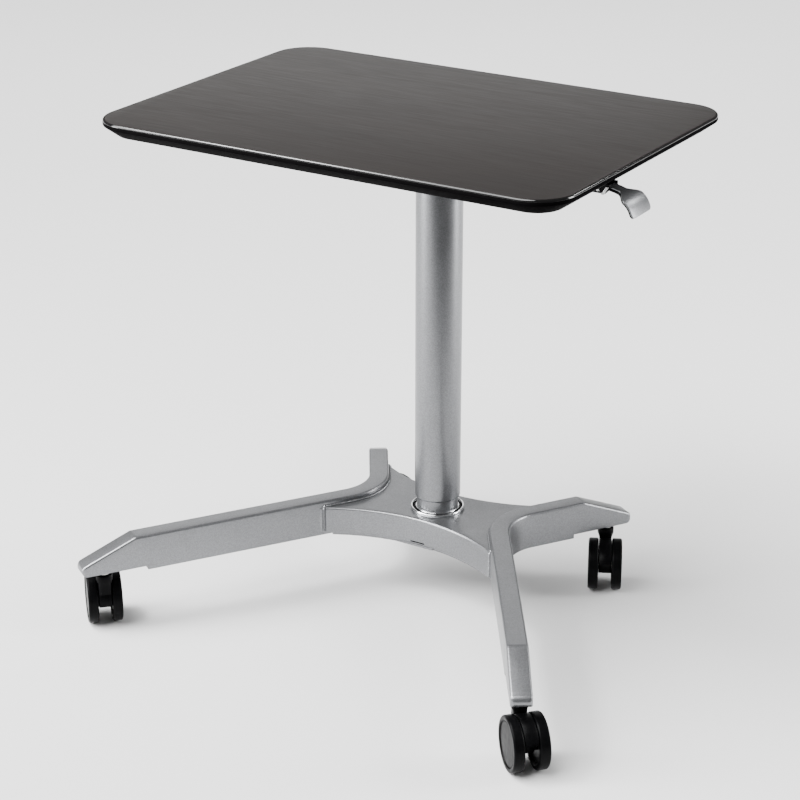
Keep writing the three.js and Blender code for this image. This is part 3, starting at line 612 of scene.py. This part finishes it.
def column():
    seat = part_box("trim_ring")[0].z / MM
    points, faces = lathe([
        (34.4, seat), (38.6, seat), *arc((37.4, seat + 2.6), 1.8, -40, 140, 12), (35.6, seat + 2.2),
        (34.9, seat + 1.2),
    ], facets=128, closed=True)
    piece("ring_bright", points, faces, "base", "chrome", ["trim_ring"], crease=50)
    # Painted shade: a black ring fills the gap between the column and the chrome ring, from the hub's
    # top up under the ring, where that gap lies in shade.
    points, faces = lathe([
        (COLUMN + 0.1, HUB_TOP - 1), (34.3, HUB_TOP - 1), (34.3, seat + 1.6),
        *arc((33.6, seat + 1.8), 0.7, 0, 180, 5), (COLUMN + 0.1, seat + 1.4),
    ], facets=128, closed=True)
    piece("ring_gap_shade", points, faces, "base", "black_nylon", crease=40)
    points, faces = lathe([
        (COLUMN - 0.2, seat + 0.5), (31.2, seat + 0.5), *arc((31.0, seat + 2.9), 0.9, -30, 120, 8),
        (COLUMN - 0.2, seat + 3.8),
    ], facets=128, closed=True)
    piece("ring_inner", points, faces, "base", "chrome", crease=50)
    points, faces = lathe([
        (COLUMN - 2.5, SLEEVE_TOP - 12), (COLUMN - 0.5, SLEEVE_TOP - 12), (COLUMN, SLEEVE_TOP - 12.5),
        (COLUMN, HUB_TOP - 20), (COLUMN - 2.5, HUB_TOP - 20),
    ], facets=128, closed=True)
    piece("column_tube", points, faces, "base", "silver_paint", ["inner_column"])
    wall = 1.6
    bottom = SLEEVE_BOTTOM
    points, faces = lathe([
        *arc((SLEEVE - 4, bottom + 4), 4, 0, -90, 8),
        (COLUMN + 0.3, bottom), (COLUMN + 0.3, bottom + 1.6),
        (SLEEVE - wall, bottom + 5), (SLEEVE - wall, SLEEVE_TOP), (SLEEVE, SLEEVE_TOP),
    ], facets=128, closed=True)
    piece("sleeve_tube", points, faces, "top", "silver_paint", ["outer_sleeve"])


# ------------------------------------------------------------------ release lever

LEVER_LINE = [
    (302, 708.4), (318, 708.6), (331, 708), (346, 704.6), (360, 698), (369, 689.5), (375, 677),
]
ARM_HALF = 8.5
PADDLE_HALF = 26
FLARE_START = 346
FLARE_LENGTH = 16


def lever_rows(start, steps=44):
    """The lever's top line: (x, z, slope x, slope z, distance to the lip)."""
    points = [Vector(p) for p in LEVER_LINE]
    points = [2 * points[0] - points[1], *points, 2 * points[-1] - points[-2]]
    fine = []
    for i in range(1, len(points) - 2):
        p0, p1, p2, p3 = points[i - 1:i + 3]
        for k in range(16):
            t = k / 16
            fine.append(0.5 * (
                2 * p1 + (p2 - p0) * t + (2 * p0 - 5 * p1 + 4 * p2 - p3) * t * t
                + (3 * p1 - p0 - 3 * p2 + p3) * t ** 3
            ))
    fine.append(points[-2])
    lengths = [0.0]
    for a, b in zip(fine, fine[1:]):
        lengths.append(lengths[-1] + (b - a).length)
    total = lengths[-1]
    xs, zs = [p.x for p in fine], [p.y for p in fine]
    begin = float(np.interp(start, xs, lengths))
    rows = []
    for i in range(steps + 1):
        s = begin + (total - begin) * (1 - (1 - i / steps) ** 1.6)
        a, b = max(s - 0.4, 0), min(s + 0.4, total)
        slope = Vector((
            np.interp(b, lengths, xs) - np.interp(a, lengths, xs),
            np.interp(b, lengths, zs) - np.interp(a, lengths, zs),
        )).normalized()
        x, z = np.interp(s, lengths, xs), np.interp(s, lengths, zs)
        rows.append((x, z, slope.x, slope.y, total - s))
    return rows


def flare(x):
    """0 along the arm and 1 along the paddle, with a smooth change between them."""
    t = min(1.0, max(0.0, (x - FLARE_START) / FLARE_LENGTH))
    return t * t * (3 - 2 * t)


def lever_piece(name, start, upper, lower_at, trim, ease, slot, node):
    """A layer of the lever between two depths below its top line, its sides drawn in by trim."""
    rings = []
    for x, z, sx, sz, to_lip in lever_rows(start):
        half = ARM_HALF + (PADDLE_HALF - ARM_HALF) * flare(x) - trim
        into = max(0.0, 1 - to_lip / PADDLE_CORNER)
        half -= PADDLE_CORNER * (1 - math.sqrt(max(0.0, 1 - into ** 2)))
        rings.append([
            at(x - sz * up, LEVER_Y + across, z + sx * up)
            for across, up in rounded(half, -lower_at(x), -upper, ease, ease, 4)
        ])
    points, faces = skin(rings)
    piece(name, points, faces, "lever", slot, [node], crease=50)


def lever():
    lever_piece("paddle_cover", 331, 0, lambda x: 2.0, 0, 0.9, "silver_paint", "lever_cover")
    lever_piece(
        "lever_core", 302, 2.1, lambda x: 6.3 - 2.2 * flare(x), 0.4, 0.7, "black_nylon", "lever_body",
    )


# ------------------------------------------------------------------ casters


def wheel(part, name, local, reach, side):
    def on_axle(x, y, z):
        return local(reach + x, side * (WHEEL_GAP / 2 + z), WHEEL + y)

    profile = [
        (0.05, 14.1), (16.0, 14.0), (29.0, 13.6), (29.6, 13.0), (30.6, 13.0), (31.4, 14.4),
        (33.0, 15.0), *arc((34.6, 12.1), 2.9, 90, 0, 6), (WHEEL, 4.0),
        *arc((34.9, 3.0), 2.6, 0, -90, 5), (31.0, 0.2), (29.0, 4.6), (12.0, 5.0), (11.0, 0.6),
        (4.5, 0.6), (4.3, 5.0), (4.3, 10.0), (0.05, 10.0),
    ]
    points, faces = lathe(profile, on_axle, 72)
    node = "wheel_{}_{}".format(part, name)
    piece("tyre_{}_{}".format(part, name), points, faces, node, "black_nylon", [node], crease=28)


def hood(name, local, reach):
    """The web between the wheels and the hood over them."""
    half = WHEEL_GAP / 2 - 0.35
    outline = [
        *arc((reach, WHEEL), 14.5, -130, -10, 12),
        *arc((reach, WHEEL), WHEEL - 0.8, 24, 181, 36),
    ]
    rings = []
    for y, shrink in ((-half, 1.0), (-half + 0.35, 0.35), (-half + 1.0, 0), (half - 1.0, 0),
                      (half - 0.35, 0.35), (half, 1.0)):
        scale = 1 - shrink / 30
        rings.append([
            local(reach + (x - reach) * scale, y, WHEEL + (z - WHEEL) * scale) for x, z in outline
        ])
    points, faces = skin(rings)
    piece(
        "hood_" + name, points, faces, "caster_" + name, "black_nylon", ["housing_" + name],
        crease=40,
    )


def neck(name, local):
    """The round neck, which becomes a rounded block where it runs into the hood."""
    deep = WHEEL_GAP / 2 - 0.35
    levels = [
        # height, half length, half width, squareness
        (56, 11, deep, 5.0), (64, 10.4, deep, 4.0), (70, 10.6, deep + 0.3, 3.0),
        (73.5, 11.3, 10.6, 2.2), (76, 11.8, 11.8, 2.0), (83.6, 11.8, 11.8, 2.0),
        (84.8, 11.4, 11.4, 2.0), (85.4, 10.6, 10.6, 2.0), (85.6, 6.2, 6.2, 2.0),
    ]
    rings = []
    for z, long, wide, power in levels:
        ring = []
        for k in range(40):
            c, s = math.cos(2 * math.pi * k / 40), math.sin(2 * math.pi * k / 40)
            ring.append(local(
                long * math.copysign(abs(c) ** (2 / power), c),
                wide * math.copysign(abs(s) ** (2 / power), s), z,
            ))
        rings.append(ring)
    points, faces = skin(rings)
    piece("neck_" + name, points, faces, "caster_" + name, "black_nylon", crease=40)


def caster(name):
    swivel = middle("stem_" + name)
    wheel_a = middle("wheel_a_" + name)
    axle = (wheel_a + middle("wheel_b_" + name)) / 2
    trail = (axle - swivel).to_2d()
    reach = trail.length / MM
    ahead = trail.normalized()
    across = Vector((-ahead.y, ahead.x))

    def local(x, y, z):
        """x runs from the swivel towards the axle and y along the axle."""
        spot = swivel.to_2d() + (ahead * x + across * y) * MM
        return Vector((spot.x, spot.y, z * MM))

    side = 1 if (wheel_a - axle).to_2d().dot(across) > 0 else -1
    wheel("a", name, local, reach, side)
    wheel("b", name, local, reach, -side)
    hood(name, local, reach)
    neck(name, local)
    for part in ("stem_", "axle_", "socket_"):
        refined(part + name, 0.4)


# ------------------------------------------------------------------ the desk

worktop()
edge_moulding()
leg(-1, "left_leg")
leg(1, "right_leg")
hub()
painted_slot_shade()
beads()
column()
lever()
for name in ("front_left", "front_right", "back_left", "back_right"):
    caster(name)

for node in sorted(NODES):
    if not NODES[node].hide_render:
        refined(node)

# ------------------------------------------------------------------ floor, light and camera


def floor():
    data = bpy.data.meshes.new("floor")
    reach = 60
    data.from_pydata(
        [(-reach, -reach, 0), (reach, -reach, 0), (reach, reach, 0), (-reach, reach, 0)],
        [], [(0, 1, 2, 3)],
    )
    surface = Surface("floor_with_painted_shade")
    place = surface.node("ShaderNodeSeparateXYZ", {"Vector": surface.node("ShaderNodeMapping", {
        "Vector": surface.place, "Rotation": (0, 0, math.radians(-50)),
    }).outputs["Vector"]})
    # Painted shade: on one side, past a soft border 0.66 to 0.88 m out from the floor's middle along
    # a direction turned 50 degrees, the floor fades from pale grey to near black. This dark wedge is
    # painted in so that the metal reflects something dark.
    painted_shade_share = surface.spread(place.outputs["Y"], 1.0, 0.0, -0.88, -0.66)
    surface.colour(surface.blend(painted_shade_share, (0.66, 0.66, 0.66), (0.03, 0.03, 0.03)))
    surface.rough(surface.spread(surface.noise(300), 0.75, 0.85))
    surface.shine(0.1)
    data.materials.append(surface.material)
    thing = bpy.data.objects.new("floor", data)
    bpy.context.scene.collection.objects.link(thing)


def softbox(name, place, target, size, power):
    lamp = bpy.data.lights.new(name, "AREA")
    lamp.shape = "RECTANGLE"
    lamp.size, lamp.size_y = size
    lamp.energy = power
    thing = bpy.data.objects.new(name, lamp)
    thing.location = place
    thing.rotation_euler = (Vector(target) - Vector(place)).to_track_quat("-Z", "Y").to_euler()
    bpy.context.scene.collection.objects.link(thing)


def daylight(towards, strength):
    """A very soft overhead light, even over the whole floor."""
    lamp = bpy.data.lights.new("overhead", "SUN")
    lamp.energy = strength
    lamp.angle = math.radians(60)
    thing = bpy.data.objects.new("overhead", lamp)
    thing.rotation_euler = Vector(towards).to_track_quat("Z", "Y").to_euler()
    bpy.context.scene.collection.objects.link(thing)


def world(strength):
    sky = bpy.data.worlds.new("studio")
    sky.use_nodes = True
    sky.node_tree.nodes["Background"].inputs["Color"].default_value = (1, 1, 1, 1)
    sky.node_tree.nodes["Background"].inputs["Strength"].default_value = strength
    bpy.context.scene.world = sky


def camera():
    data = bpy.data.cameras.new("camera")
    data.lens = 102.85
    data.sensor_width = 36
    thing = bpy.data.objects.new("camera", data)
    thing.location = at(1538.2, -2591.0, 1546.1)
    thing.rotation_euler = (math.pi / 2 - 0.393007, 0, 0.553836)
    bpy.context.scene.collection.objects.link(thing)
    bpy.context.scene.camera = thing


floor()
world(0.22)
daylight((-0.45, -0.5, 1), 9.5)
softbox("left", (-2.0, -1.6, 0.9), (0, 0, 0.4), (0.8, 1.8), 95)
softbox("right", (2.1, 1.25, 0.9), (0, 0, 0.4), (0.7, 1.8), 85)
softbox("behind", (-1.9, 2.9, 1.6), (0, 0, 0.4), (2.4, 1.4), 17)
softbox("edge_right", (1.7, 2.9, 2.5), (0.35, 0, 0.73), (0.5, 0.5), 24)
softbox("edge_front", (-1.3, -0.9, 2.4), (0, 0, 0.3), (0.8, 0.4), 60)
camera()
